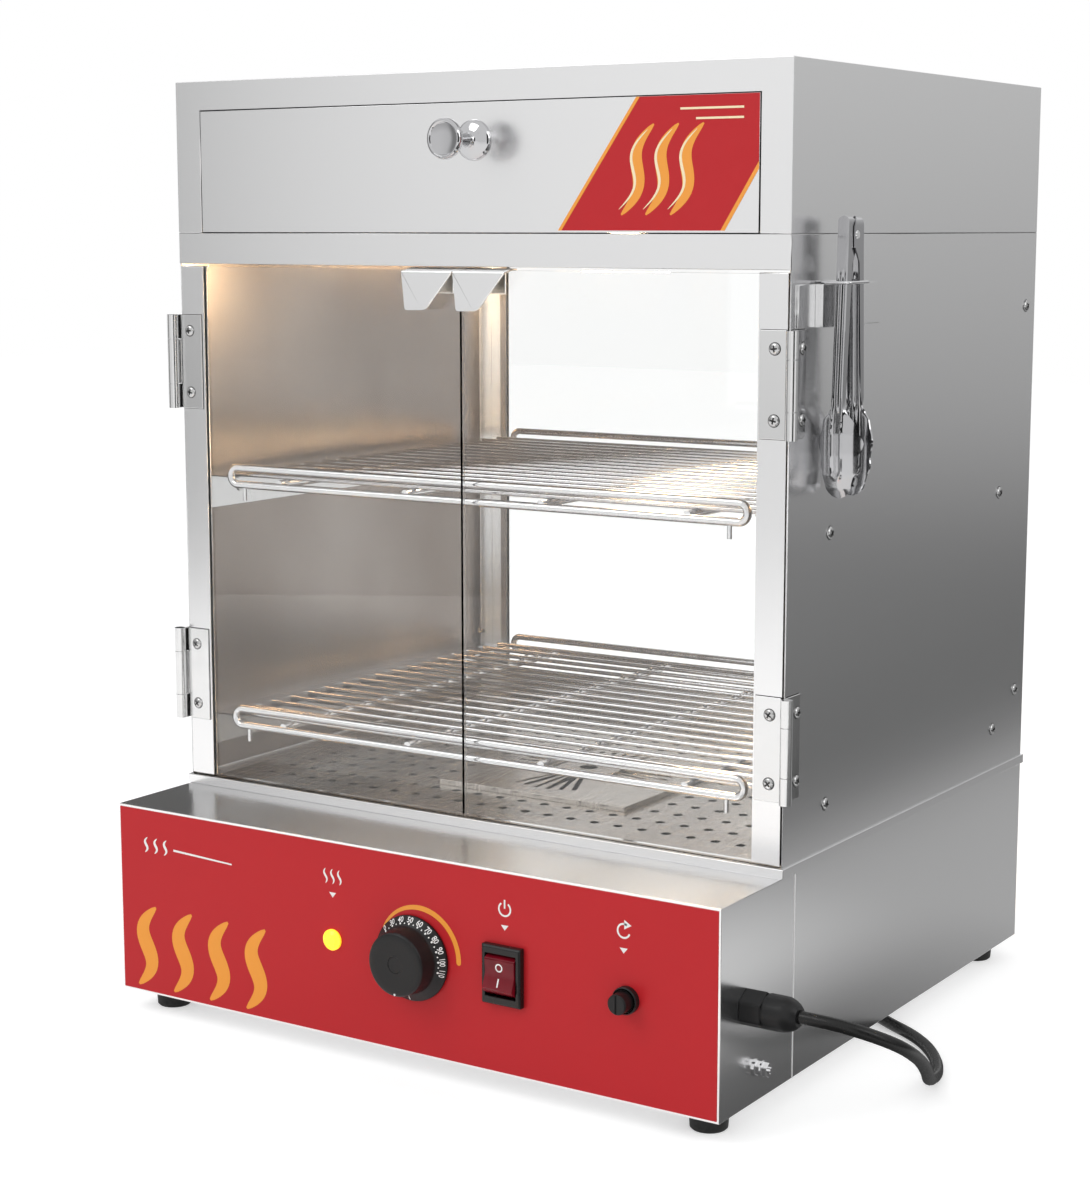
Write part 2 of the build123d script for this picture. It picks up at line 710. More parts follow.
def make_rack(level):
    z = CHAMBER_Z + level
    front = FRONT_Y + RACK_FRONT_SETBACK
    back = BACK_Y - RACK_REAR_SETBACK
    pieces = [rack_bar(front, z), rack_bar(back, z)]
    support_z = z - WIRE_RADIUS - RACK_BAR_RADIUS + RACK_WELD
    for x in RACK_SUPPORTS:
        pieces.append(rod((x, front, support_z), (0, 1, 0), back - front, RACK_BAR_RADIUS))
    spaces = round((back - front - RACK_PITCH / 2) / RACK_PITCH)
    step = (back - front) / spaces
    for index in range(spaces):
        y = front + (index + 0.5) * step
        pieces.append(rod((-RACK_HALF_WIDTH, y, z), (1, 0, 0), 2 * RACK_HALF_WIDTH, WIRE_RADIUS))
    for y in (front, back):
        for side in (-1, 1):
            foot = (side * RACK_LEG_X, y, z - RACK_BAR_OFFSET)
            pieces.append(rod(foot, (0, 0, -1), RACK_LEG_DROP, WIRE_RADIUS))
    return joined(pieces)


def side_screw_seats():
    """Side wall screws as (side, (y, z), shank radius)."""
    seats = []
    for side in (-1, 1):
        for level in (UPPER_RACK_LEVEL, LOWER_RACK_LEVEL):
            z = CHAMBER_Z + level - RAIL_SCREW_DROP
            seats.append((side, (FRONT_Y + RAIL_FRONT_SETBACK + RAIL_SCREW_FRONT, z), SCREW_RADIUS))
            seats.append((side, (BACK_Y - RAIL_REAR_SETBACK - RAIL_SCREW_REAR, z), SCREW_RADIUS))
        y = BACK_Y - FRAME_SCREW_SETBACK
        seats.append((side, (y, CHAMBER_Z + FRAME_SCREW_INSET), SCREW_RADIUS))
        seats.append((side, (y, HOOD_Z - FRAME_SCREW_INSET), SCREW_RADIUS))
        for z in hinge_screw_heights():
            seats.append((side, (FRONT_Y + SIDE_SCREW_SETBACK, z), HINGE_SCREW_RADIUS))
    return seats


def make_cabinet_screws():
    """Screws of the feet, rails, rear frame and fixed hinge leaves."""
    screws = foot_screws()
    for side, (y, z), radius in side_screw_seats():
        hinge = radius == HINGE_SCREW_RADIUS
        seat_x = WALL_X + (HINGE_LEAF if hinge else 0)
        reach = 2 * SHEET + (HINGE_LEAF if hinge else SHEET)
        head = HINGE_SCREW_HEAD_RADIUS if hinge else SCREW_HEAD_RADIUS
        height = HINGE_SCREW_HEAD_HEIGHT if hinge else SCREW_HEAD_HEIGHT
        screws.append(pan_head_screw((side * seat_x, y, z), (-side, 0, 0), reach,
                                     radius, head, height))
    return joined(screws)


def make_chamber_lamp_socket():
    ceiling = HOOD_Z - SHEET
    y, z = FRONT_Y + CHAMBER_LAMP_SETBACK, ceiling - CHAMBER_LAMP_DROP
    body = rod((CHAMBER_LAMP_X, y, z), (1, 0, 0), 25, 9.5)
    return body + block((CHAMBER_LAMP_X + 2, CHAMBER_LAMP_X + 23), (y - 6, y + 6), (z, ceiling))


def make_chamber_lamp_bulb():
    y, z = FRONT_Y + CHAMBER_LAMP_SETBACK, HOOD_Z - SHEET - CHAMBER_LAMP_DROP
    outline = [(0, 0), (6, 0), (7.5, 3), (7.5, 42), (5.5, 48), (0, 50)]
    return turned((CHAMBER_LAMP_X + 25, y, z), (1, 0, 0), outline)


# ---------------------------------------------------------------- hinges and doors

BARREL_X = WALL_X + BARREL_OUT_X
BARREL_Y = FRONT_Y - BARREL_OUT_Y


def hinge_heights():
    return CHAMBER_Z + HINGE_LOWER_Z, CHAMBER_Z + HINGE_UPPER_Z


def hinge_screw_heights():
    half = HINGE_SCREW_SPACING / 2
    return [z + offset for z in hinge_heights() for offset in (-half, half)]


def make_cabinet_hinge_leaves():
    """Fixed leaf with the two end knuckles, on both side walls."""
    pieces = []
    for z in hinge_heights():
        low, high = z - HINGE_LENGTH / 2, z + HINGE_LENGTH / 2
        plate_x = (WALL_X, WALL_X + HINGE_LEAF)
        leaf = block(plate_x, (FRONT_Y + LEAF_SPACE, FRONT_Y + CABINET_LEAF_REACH), (low, high))
        for bottom in (low, high - KNUCKLE_END):
            zone = (bottom, bottom + KNUCKLE_END)
            leaf += block(plate_x, (BARREL_Y, FRONT_Y + LEAF_SPACE), zone)
            leaf += rod((BARREL_X, BARREL_Y, bottom), (0, 0, 1), KNUCKLE_END, BARREL_RADIUS)
        leaf -= rod((BARREL_X, BARREL_Y, low), (0, 0, 1), HINGE_LENGTH, PIN_RADIUS)
        for screw_z in (z - HINGE_SCREW_SPACING / 2, z + HINGE_SCREW_SPACING / 2):
            start = (WALL_X - SHEET, FRONT_Y + SIDE_SCREW_SETBACK, screw_z)
            leaf -= rod(start, (1, 0, 0), 4 * SHEET, HINGE_SCREW_RADIUS)
        pieces += [leaf, mirrored(leaf)]
    return joined(pieces)


def make_hinge_pins():
    pins = []
    for side in (-1, 1):
        for z in hinge_heights():
            start = (side * BARREL_X, BARREL_Y, z - HINGE_LENGTH / 2)
            pins.append(rod(start, (0, 0, 1), HINGE_LENGTH, PIN_RADIUS))
    return joined(pins)


DOOR_LOW = CHAMBER_Z + DOOR_BOTTOM_GAP
DOOR_HIGH = HEADER_Z - DOOR_TOP_GAP
DOOR_OUTER_X = WALL_X - DOOR_SIDE_GAP
STILE_INNER_X = DOOR_OUTER_X - STILE_WIDTH
STILE_BACK_Y = FRONT_Y + 2 * SHEET + GLASS_THICKNESS
GLASS_TOP = DOOR_HIGH - 0.5


def make_right_door_leaves():
    """Moving leaf with the middle knuckle, for both hinges."""
    pieces = []
    middle = HINGE_LENGTH - 2 * (KNUCKLE_END + KNUCKLE_GAP)
    plate_y = (FRONT_Y - HINGE_LEAF, FRONT_Y)
    for z in hinge_heights():
        inner_x = BARREL_X - DOOR_LEAF_REACH
        leaf = block((inner_x, DOOR_OUTER_X), plate_y, (z - HINGE_LENGTH / 2, z + HINGE_LENGTH / 2))
        leaf += block((DOOR_OUTER_X, BARREL_X), plate_y, (z - middle / 2, z + middle / 2))
        leaf += rod((BARREL_X, BARREL_Y, z - middle / 2), (0, 0, 1), middle, BARREL_RADIUS)
        leaf -= rod((BARREL_X, BARREL_Y, z - HINGE_LENGTH / 2), (0, 0, 1), HINGE_LENGTH,
                    PIN_RADIUS + PIN_FIT)
        for screw_z in (z - HINGE_SCREW_SPACING / 2, z + HINGE_SCREW_SPACING / 2):
            start = (WALL_X - DOOR_SCREW_INSET, FRONT_Y - 2 * HINGE_LEAF, screw_z)
            leaf -= rod(start, (0, 1, 0), 3 * HINGE_LEAF, HINGE_SCREW_RADIUS)
        pieces.append(leaf)
    return joined(pieces)


def make_right_door_stile():
    """Folded channel that grips the outer edge of the glass."""
    x_range = (STILE_INNER_X, DOOR_OUTER_X)
    stile = block(x_range, (FRONT_Y, STILE_BACK_Y), (DOOR_LOW, DOOR_HIGH))
    stile -= block((STILE_INNER_X, DOOR_OUTER_X - SHEET), (FRONT_Y + SHEET, STILE_BACK_Y - SHEET),
                   (DOOR_LOW, DOOR_HIGH))
    for z in hinge_screw_heights():
        start = (WALL_X - DOOR_SCREW_INSET, FRONT_Y - SHEET, z)
        stile -= rod(start, (0, 1, 0), 3 * SHEET, HINGE_SCREW_RADIUS)
    return stile


def make_right_door_glass():
    outer_x = STILE_INNER_X + DOOR_GLASS_LAP
    return block((MEETING_GAP / 2, outer_x), (FRONT_Y + SHEET, STILE_BACK_Y - SHEET),
                 (DOOR_LOW + 0.5, GLASS_TOP))


def make_right_door_screws():
    screws = []
    for z in hinge_screw_heights():
        seat = (WALL_X - DOOR_SCREW_INSET, FRONT_Y - HINGE_LEAF, z)
        screws.append(pan_head_screw(seat, (0, 1, 0), HINGE_LEAF + 2 * SHEET, HINGE_SCREW_RADIUS,
                                     HINGE_SCREW_HEAD_RADIUS, HINGE_SCREW_HEAD_HEIGHT))
    return joined(screws)


def handle_tab(x, y_range, high):
    """Front tab of a handle: straight top, slanted right edge and rounded foot."""
    y, low = y_range[0], high - HANDLE_DROP + HANDLE_SLOPE
    width = HANDLE_WIDTH
    top_left, top_right = (x, y, high), (x + width, y, high)
    slant_end, toe = (x + 0.56 * width, y, low + 3.5), (x + 0.40 * width, y, low)
    heel, heel_top = (x + 0.12 * width, y, low), (x + 0.06 * width, y, low + 2.2)
    slant = Line(top_right, slant_end)
    edges = [
        Line(top_left, top_right),
        slant,
        TangentArc(slant_end, toe, tangent=slant % 1),
        Line(toe, heel),
        ThreePointArc(heel, (x + 0.075 * width, y, low + 0.7), heel_top),
        Line(heel_top, top_left),
    ]
    return extrude(make_face(edges), amount=y_range[1] - y_range[0], dir=(0, 1, 0))


def make_handle(x):
    """Sheet hooked over the top edge of the glass, with a finger tab in front."""
    outer_y = FRONT_Y - HANDLE_PROJECTION
    inner_y = outer_y + HANDLE_SHEET
    glass_back, glass_front = STILE_BACK_Y - SHEET, FRONT_Y + SHEET
    back_y = glass_back + HANDLE_SHEET
    top = GLASS_TOP + HANDLE_SHEET
    bend = top - HANDLE_SLOPE
    strap = [
        (back_y, GLASS_TOP),
        (back_y, top),
        (glass_front, top),
        (outer_y, bend),
        (outer_y, bend - HANDLE_SHEET),
        (inner_y, bend - HANDLE_SHEET),
        (glass_front, GLASS_TOP),
    ]
    handle = side_plate(strap, x, x + HANDLE_WIDTH)
    handle += block((x, x + HANDLE_FOOT_WIDTH), (glass_back, back_y),
                    (GLASS_TOP - HANDLE_FOOT_DROP, GLASS_TOP))
    return handle + handle_tab(x, (outer_y, inner_y), bend - HANDLE_SHEET)


# ---------------------------------------------------------------- hood and drawer

DRAWER_TOP_Z = HOOD_Z + DRAWER_JOINT_GAP + DRAWER_HEIGHT
RUNNER_Z = HOOD_Z + RUNNER_RISE
BOX_Z = RUNNER_Z + DRAWER_PLAY
BOX_X = DRAWER_HALF_WIDTH - DRAWER_BOX_INSET


def make_hood():
    shell = block((-WALL_X, WALL_X), (FRONT_Y, BACK_Y), (HOOD_Z, TOP_Z))
    shell -= block((-INNER_X, INNER_X), (FRONT_Y + SHEET, BACK_Y - SHEET), (HOOD_Z, TOP_Z - SHEET))
    opening = DRAWER_HALF_WIDTH + DRAWER_JOINT_GAP
    shell -= block((-opening, opening), (FRONT_Y - SHEET, FRONT_Y + SHEET),
                   (HOOD_Z, DRAWER_TOP_Z + DRAWER_JOINT_GAP))
    return shell


def make_drawer_runners():
    y_range = (FRONT_Y + 3 * SHEET, FRONT_Y + 3 * SHEET + RUNNER_LENGTH)
    shelf = block((INNER_X - RUNNER_WIDTH, INNER_X), y_range, (RUNNER_Z - SHEET, RUNNER_Z))
    web = block((INNER_X - SHEET, INNER_X), y_range, (RUNNER_Z - SHEET, RUNNER_Z + RUNNER_HEIGHT))
    runner = shelf + web
    return joined([runner, mirrored(runner)])


def knob_hole(depth_start, depth):
    z = HOOD_Z + DRAWER_KNOB_Z
    return rod((DRAWER_KNOB_X, depth_start, z), (0, 1, 0), depth, SCREW_RADIUS)


def make_drawer_front():
    front = block((-DRAWER_HALF_WIDTH, DRAWER_HALF_WIDTH), (FRONT_Y, FRONT_Y + SHEET),
                  (HOOD_Z + DRAWER_JOINT_GAP, DRAWER_TOP_Z))
    return front - knob_hole(FRONT_Y - SHEET, 4 * SHEET)


def make_drawer_box():
    y_range = (FRONT_Y + SHEET, FRONT_Y + SHEET + DRAWER_LENGTH)
    box = block((-BOX_X, BOX_X), y_range, (BOX_Z, BOX_Z + DRAWER_BOX_DEPTH))
    box -= block((-BOX_X + SHEET, BOX_X - SHEET), (y_range[0] + SHEET, y_range[1] - SHEET),
                 (BOX_Z + SHEET, BOX_Z + DRAWER_BOX_DEPTH))
    return box - knob_hole(FRONT_Y - SHEET, 4 * SHEET)


def make_drawer_knob():
    disc, rosette, stem, end = KNOB_DISC_RADIUS, KNOB_ROSETTE_RADIUS, KNOB_STEM_RADIUS, KNOB_LENGTH
    outline = [
        (0, 0),
        (rosette, 0),
        (rosette, 0.8),
        (rosette * 0.8, 2.6),
        (stem * 1.25, 4.2),
        (stem, 6.5),
        (stem, end - 10),
        (stem * 1.6, end - 7.5),
        (disc * 0.8, end - 6),
        (disc, end - 4),
        (disc, end - 2),
        (disc * 0.94, end),
        (disc * 0.84, end),
        (disc * 0.78, end - 0.8),
        (0, end - 1.2),
    ]
    knob = turned((DRAWER_KNOB_X, FRONT_Y, HOOD_Z + DRAWER_KNOB_Z), (0, -1, 0), outline)
    return knob - knob_hole(FRONT_Y - KNOB_THREAD_DEPTH, KNOB_THREAD_DEPTH)


def make_drawer_knob_screw():
    seat = (DRAWER_KNOB_X, FRONT_Y + 2 * SHEET, HOOD_Z + DRAWER_KNOB_Z)
    return pan_head_screw(seat, (0, -1, 0), 2 * SHEET + KNOB_THREAD_DEPTH - 1, SCREW_RADIUS,
                          SCREW_HEAD_RADIUS, SCREW_HEAD_HEIGHT)


# ---------------------------------------------------------------- controls

CONTROL_HEIGHT = BASE_Z + CONTROL_Z
DIAL_HEIGHT = BASE_Z + DIAL_Z
PANEL_BACK_Y = PANEL_Y + SHEET


def make_indicator_lamp():
    outline = [
        (0, 0),
        (LAMP_BODY_RADIUS, 0),
        (LAMP_BODY_RADIUS, LAMP_BODY_LENGTH),
        (LAMP_RADIUS, LAMP_BODY_LENGTH),
        (LAMP_RADIUS, LAMP_BODY_LENGTH + 1.4),
        (LAMP_RADIUS * 0.85, LAMP_BODY_LENGTH + 1.8),
        (LAMP_RADIUS * 0.6, LAMP_BODY_LENGTH + LAMP_PROJECTION - 0.4),
        (0, LAMP_BODY_LENGTH + LAMP_PROJECTION),
    ]
    return turned((LAMP_X, FILM_Y + LAMP_BODY_LENGTH, CONTROL_HEIGHT), (0, -1, 0), outline)


def make_thermostat_body():
    body = block((DIAL_X - 21, DIAL_X + 21), (PANEL_BACK_Y, PANEL_BACK_Y + THERMOSTAT_DEPTH),
                 (DIAL_HEIGHT - 24, DIAL_HEIGHT + 24))
    start = (DIAL_X, PANEL_BACK_Y, DIAL_HEIGHT)
    body += rod(start, (0, -1, 0), SHEET, BUSHING_RADIUS)
    shaft = SHEET + FILM_THICKNESS + DIAL_STANDOFF + DIAL_BORE_DEPTH - 1
    return body + rod(start, (0, -1, 0), shaft, SHAFT_RADIUS)


def make_thermostat_knob():
    grip = DIAL_GRIP_RADIUS
    outline = [
        (0, 0),
        (DIAL_RADIUS, 0),
        (DIAL_RADIUS, DIAL_SKIRT - 1.5),
        (DIAL_RADIUS - 1.5, DIAL_SKIRT),
        (grip + 1, DIAL_SKIRT + 0.6),
        (grip, DIAL_SKIRT + 2),
        (grip - 0.8, DIAL_LENGTH - 1.5),
        (grip - 2.3, DIAL_LENGTH),
        (0, DIAL_LENGTH),
    ]
    back = FILM_Y - DIAL_STANDOFF
    knob = turned((DIAL_X, back, DIAL_HEIGHT), (0, -1, 0), outline)
    return knob - rod((DIAL_X, back, DIAL_HEIGHT), (0, -1, 0), DIAL_BORE_DEPTH,
                      SHAFT_RADIUS + SHAFT_FIT)


BULB_RADIUS = 3.0
CAPILLARY_RADIUS = 1.0
BULB_HALF_LENGTH = 25.0
BULB_SETBACK = 57.5


def make_thermostat_capillary():
    """Thin tube from the thermostat to its sensing bulb under the pan."""
    bulb_z = PAN_FLOOR_Z - BULB_RADIUS
    bulb_y = FRONT_Y + BULB_SETBACK
    body_back = PANEL_BACK_Y + THERMOSTAT_DEPTH
    path = FilletPolyline(
        (DIAL_X, body_back, DIAL_HEIGHT - 12),
        (DIAL_X, body_back + 30, DIAL_HEIGHT - 12),
        (DIAL_X + 40, bulb_y - 12, DIAL_HEIGHT - 20),
        (DIAL_X + 40, bulb_y, bulb_z),
        (BULB_HALF_LENGTH - 1, bulb_y, bulb_z),
        radius=5,
    )
    bulb = rod((-BULB_HALF_LENGTH, bulb_y, bulb_z), (1, 0, 0), 2 * BULB_HALF_LENGTH, BULB_RADIUS)
    return swept_rod(path, CAPILLARY_RADIUS) + bulb


def make_switch_body():
    z = CONTROL_HEIGHT
    open_x = ROCKER_WIDTH / 2 + SLIDE_GAP
    open_z = ROCKER_RADIUS + SLIDE_GAP
    body_x, body_z = open_x + SWITCH_WALL, open_z + SWITCH_WALL
    bezel_front = FILM_Y - BEZEL_THICKNESS
    bezel = block((SWITCH_X - BEZEL_WIDTH / 2, SWITCH_X + BEZEL_WIDTH / 2), (bezel_front, FILM_Y),
                  (z - BEZEL_HEIGHT / 2, z + BEZEL_HEIGHT / 2))
    bezel = chamfer(bezel.faces().sort_by(Axis.Y)[0].edges(), 1.2)
    body = bezel + block((SWITCH_X - body_x, SWITCH_X + body_x), (FILM_Y, FILM_Y + SWITCH_DEPTH),
                         (z - body_z, z + body_z))
    floor = bezel_front + ROCKER_PIVOT_DEPTH + ROCKER_RADIUS + SLIDE_GAP
    body -= block((SWITCH_X - open_x, SWITCH_X + open_x), (bezel_front, floor),
                  (z - open_z, z + open_z))
    pivot = (SWITCH_X - open_x - SWITCH_WALL, bezel_front + ROCKER_PIVOT_DEPTH, z)
    return body - rod(pivot, (1, 0, 0), 2 * body_x, ROCKER_PIN_RADIUS + ROCKER_PIN_FIT)


def make_rocker():
    """Rocker with a dished face, resting with its upper half pressed."""
    pivot_y = FILM_Y - BEZEL_THICKNESS + ROCKER_PIVOT_DEPTH
    half = ROCKER_WIDTH / 2
    drum = rod((-half, 0, 0), (1, 0, 0), ROCKER_WIDTH, ROCKER_RADIUS)
    drum &= block((-half, half), (-ROCKER_FRONT, ROCKER_BACK), (-ROCKER_RADIUS, ROCKER_RADIUS))
    edge = math.sqrt(ROCKER_RADIUS ** 2 - ROCKER_FRONT ** 2)
    dish_edge = [(-ROCKER_FRONT, -edge), (-ROCKER_FRONT - ROCKER_DISH, 0), (-ROCKER_FRONT, edge)]
    dish_edge += [(-ROCKER_FRONT + ROCKER_DISH, 0)]
    drum -= side_plate(dish_edge, -half, half)
    pin_length = ROCKER_WIDTH + 2 * ROCKER_PIN_LENGTH
    drum += rod((-pin_length / 2, 0, 0), (1, 0, 0), pin_length, ROCKER_PIN_RADIUS)
    return Pos(SWITCH_X, pivot_y, CONTROL_HEIGHT) * Rot(-ROCKER_TILT, 0, 0) * drum


def make_cutout_body():
    """Over-temperature cut-out with its threaded collar on the panel."""
    start = (RESET_X, PANEL_BACK_Y + RESET_BODY_LENGTH, CONTROL_HEIGHT)
    to_panel = RESET_BODY_LENGTH
    to_film = to_panel + SHEET + FILM_THICKNESS
    tip = to_film + RESET_COLLAR_LENGTH
    bore = RESET_BUTTON_RADIUS + RESET_BUTTON_GAP
    outline = [
        (0, 0),
        (RESET_BODY_RADIUS, 0),
        (RESET_BODY_RADIUS, to_panel),
        (RESET_NECK_RADIUS, to_panel),
        (RESET_NECK_RADIUS, to_film),
        (RESET_COLLAR_RADIUS, to_film),
        (RESET_COLLAR_RADIUS, tip - 0.6),
        (RESET_COLLAR_RADIUS - 0.6, tip),
        (bore, tip),
        (bore, to_panel - 4),
        (0, to_panel - 4),
    ]
    return turned(start, (0, -1, 0), outline)


def make_reset_button():
    length = RESET_BUTTON_FRONT + FILM_THICKNESS + SHEET + 4 - RESET_TRAVEL - 0.5
    front = PANEL_Y - RESET_BUTTON_FRONT
    outline = [
        (0, 0),
        (RESET_BUTTON_RADIUS - 0.8, 0),
        (RESET_BUTTON_RADIUS, 0.8),
        (RESET_BUTTON_RADIUS, length),
        (0, length),
    ]
    button = turned((RESET_X, front, CONTROL_HEIGHT), (0, 1, 0), outline)
    slot = block((RESET_X - 0.7, RESET_X + 0.7), (front, front + 0.8),
                 (CONTROL_HEIGHT - RESET_BUTTON_RADIUS, CONTROL_HEIGHT + RESET_BUTTON_RADIUS))
    return button - slot


def make_terminal_block():
    left, y, z = WALL_X - TERMINAL_SIDE_SETBACK, PANEL_Y + TERMINAL_FRONT_SETBACK, BASE_Z + SHEET
    base = block((left, left + 50), (y, y + 22), (z, z + 8))
    for index in range(4):
        x = left + 1 + index * 12.5
        base += block((x, x + 10.5), (y + 3, y + 19), (z + 8, z + 20))
    return base


# ---------------------------------------------------------------- supply side


def make_cable_gland():
    start = INNER_X - GLAND_NUT_LENGTH
    wall = GLAND_NUT_LENGTH + SHEET
    end = wall + GLAND_LENGTH
    dome = wall + GLAND_BODY_LENGTH
    outline = [
        (0, 0),
        (GLAND_NUT_RADIUS, 0),
        (GLAND_NUT_RADIUS, GLAND_NUT_LENGTH),
        (GLAND_THREAD_RADIUS, GLAND_NUT_LENGTH),
        (GLAND_THREAD_RADIUS, wall),
        (GLAND_BODY_RADIUS, wall),
        (GLAND_BODY_RADIUS, dome),
        (GLAND_THREAD_RADIUS + 1, dome),
        (GLAND_THREAD_RADIUS + 1, dome + 1),
        (GLAND_DOME_RADIUS, dome + 1),
        (GLAND_DOME_RADIUS, end - 8),
        (GLAND_DOME_RADIUS - 1.4, end - 4),
        (GLAND_TIP_RADIUS + 1.2, end - 1.2),
        (GLAND_TIP_RADIUS, end),
        (0, end),
    ]
    return turned((start, PANEL_Y + GLAND_SETBACK, BASE_Z + GLAND_Z), (1, 0, 0), outline)


def make_ground_terminal():
    """Earth stud through the wall, with nuts and washers."""
    y, z = PANEL_Y + EARTH_SETBACK, BASE_Z + EARTH_Z
    across = (1, 0, 0)
    pieces = [rod((INNER_X - 8, y, z), across, 8 + SHEET + EARTH_PROJECTION, EARTH_STUD_RADIUS)]
    nut = extrude(RegularPolygon(NUT_RADIUS, 6), amount=NUT_THICKNESS)
    outside = WALL_X + WASHER_THICKNESS
    for x in (INNER_X - NUT_THICKNESS, outside, outside + NUT_THICKNESS + WASHER_THICKNESS):
        pieces.append(Plane(origin=(x, y, z), z_dir=across).location * nut)
    for x in (WALL_X, outside + NUT_THICKNESS):
        pieces.append(rod((x, y, z), across, WASHER_THICKNESS, WASHER_RADIUS))
    return joined(pieces)


def cord_radii():
    """Bend radius at each corner of the route, as large as its two runs allow."""
    points = [Vector(*point) for point in CORD_ROUTE]
    radii = []
    for before, corner, after in zip(points, points[1:], points[2:]):
        run_in, run_out = corner - before, after - corner
        half_turn = math.radians(run_in.get_angle(run_out) / 2)
        radii.append(0.45 * min(run_in.length, run_out.length) / math.tan(half_turn))
    return radii


def make_cord_lead():
    radii = cord_radii()
    print("cord bend radii:", [round(radius) for radius in radii])
    path = FilletPolyline(*CORD_ROUTE, radius=radii)
    lead = swept_rod(path, CORD_RADIUS)
    section = math.pi * CORD_RADIUS ** 2
    print("cord lead length %.0f, volume ratio %.4f"
          % (path.length, lead.volume / (section * path.length)))
    return lead


def coil_path():
    """Two layers: half turns that spiral in, climb once and spiral out again."""
    up = Vector(0, 0, 1)
    heading = Vector(-1, 0, 0)
    stub = 2 * CORD_RADIUS
    start = Vector(*COIL_START, CORD_RADIUS)
    point = start + heading * stub
    edges = [Line(start, point)]
    radii = [COIL_RADIUS - index * COIL_STEP / 2 for index in range(COIL_HALF_TURNS)]
    turns = [(radius, 0) for radius in radii]
    turns += [(radii[-1] - COIL_STEP / 2, COIL_RISE)]
    turns += [(radius, 0) for radius in reversed(radii)]
    for radius, rise in turns:
        across = heading.cross(up)
        end = point + across * (2 * radius) + up * rise
        bulge = math.hypot(radius, rise / 2)
        middle = point + across * radius + heading * bulge + up * (rise / 2)
        first = TangentArc(point, middle, tangent=heading)
        edges += [first, TangentArc(middle, end, tangent=first % 1)]
        point, heading = end, heading * -1
    end = point + heading * COIL_TAIL
    edges.append(Line(point, end))
    return edges, end, heading


def least_gap(edges):
    """Smallest clear space between turns of the coil, measured on sampled points."""
    samples, run = [], 0.0
    for edge in edges:
        count = 36
        for index in range(count):
            samples.append((run + edge.length * index / count, edge @ (index / count)))
        run += edge.length
    gap = COIL_RADIUS
    for index, (place, point) in enumerate(samples):
        for other_place, other in samples[index + 1:]:
            if other_place - place > 8 * CORD_RADIUS:
                gap = min(gap, (other - point).length - 2 * CORD_RADIUS)
    return gap


def make_cord_coil():
    edges, end, heading = coil_path()
    print("coil length %.0f, least gap %.2f" % (sum(edge.length for edge in edges), least_gap(edges)))
    return swept_rod(Wire(edges), CORD_RADIUS)


def make_plug():
    """Moulded plug lying beside the coil, its pins pointing along the cord's end."""
    edges, end, heading = coil_path()
    half_height = end.Z
    tail = 8.0
    body = block((tail, PLUG_LENGTH), (-PLUG_HALF_WIDTH, PLUG_HALF_WIDTH), (-half_height, half_height))
    body = fillet(body.edges().filter_by(Axis.X), half_height * 0.55)
    neck = turned((0, 0, 0), (1, 0, 0), [(0, 0), (CORD_RADIUS + 1, 0), (CORD_RADIUS + 4, tail + 2),
                                         (0, tail + 2)])
    plug = body + neck
    for side in (-1, 1):
        y = side * BLADE_SPACING / 2
        plug += block((PLUG_LENGTH, PLUG_LENGTH + BLADE_LENGTH),
                      (y - BLADE_THICKNESS / 2, y + BLADE_THICKNESS / 2),
                      (-3 - BLADE_WIDTH / 2, -3 + BLADE_WIDTH / 2))
    plug += rod((PLUG_LENGTH, 0, 6), (1, 0, 0), BLADE_LENGTH + 1, EARTH_PIN_RADIUS)
    angle = math.degrees(math.atan2(heading.Y, heading.X))
    return Pos(end.X, end.Y, end.Z) * Rot(0, 0, angle) * plug


# ---------------------------------------------------------------- tongs and holder

HOLDER_TOP_Z = CHAMBER_Z + HOLDER_TOP
HOLDER_LOW_Z = HOLDER_TOP_Z - HOLDER_HEIGHT
HOLDER_FRONT_Y = FRONT_Y + HOLDER_FRONT_SETBACK


def make_tongs_holder():
    """Bent strap fixed flat to the wall at both ends, standing off in the middle."""
    first = HOLDER_FRONT_Y + HOLDER_TAB
    jog = HOLDER_STANDOFF
    second = first + jog + HOLDER_PLATE
    last = second + HOLDER_REAR_TAB
    sheet = HOLDER_SHEET
    outline = [
        (HOLDER_FRONT_Y, 0),
        (first + sheet * 0.6, 0),
        (first + sheet * 0.6, jog),
        (second - sheet * 0.6, jog),
        (second - sheet * 0.6, 0),
        (last, 0),
        (last, sheet),
        (second + sheet * 0.4, sheet),
        (second + sheet * 0.4, jog + sheet),
        (first - sheet * 0.4, jog + sheet),
        (first - sheet * 0.4, sheet),
        (HOLDER_FRONT_Y, sheet),
    ]
    corners = [(WALL_X + out, y, HOLDER_LOW_Z) for y, out in outline]
    face = make_face(Polyline(*corners, close=True))
    return extrude(face, amount=HOLDER_HEIGHT, dir=(0, 0, 1))


TONGS_X = WALL_X + TONGS_OUT_X
TONGS_Y = FRONT_Y + TONGS_SETBACK
RING_Z = HOLDER_TOP_Z + RING_WIRE
RIVET_Z = HOLDER_TOP_Z + TONGS_RIVET_RISE
TONGS_TOP_Z = HOLDER_TOP_Z + TONGS_TOP
HEAD_TOP_Z = RIVET_Z - 95.0
HEAD_WIDE_Z = RIVET_Z - 115.0
HEAD_TIP_Z = RIVET_Z - 146.0


def arm_outline(face_shift, back):
    """Side view of an arm as (distance from the middle plane, z)."""
    return [
        (TONGS_FACE_TOP + face_shift, TONGS_TOP_Z),
        (TONGS_FACE_TOP + 0.6 + face_shift, RIVET_Z - 10),
        (TONGS_FACE_BOTTOM + face_shift, HEAD_TOP_Z),
        (TONGS_FACE_BOTTOM + 0.4 + face_shift, HEAD_WIDE_Z - 14),
    ] + back


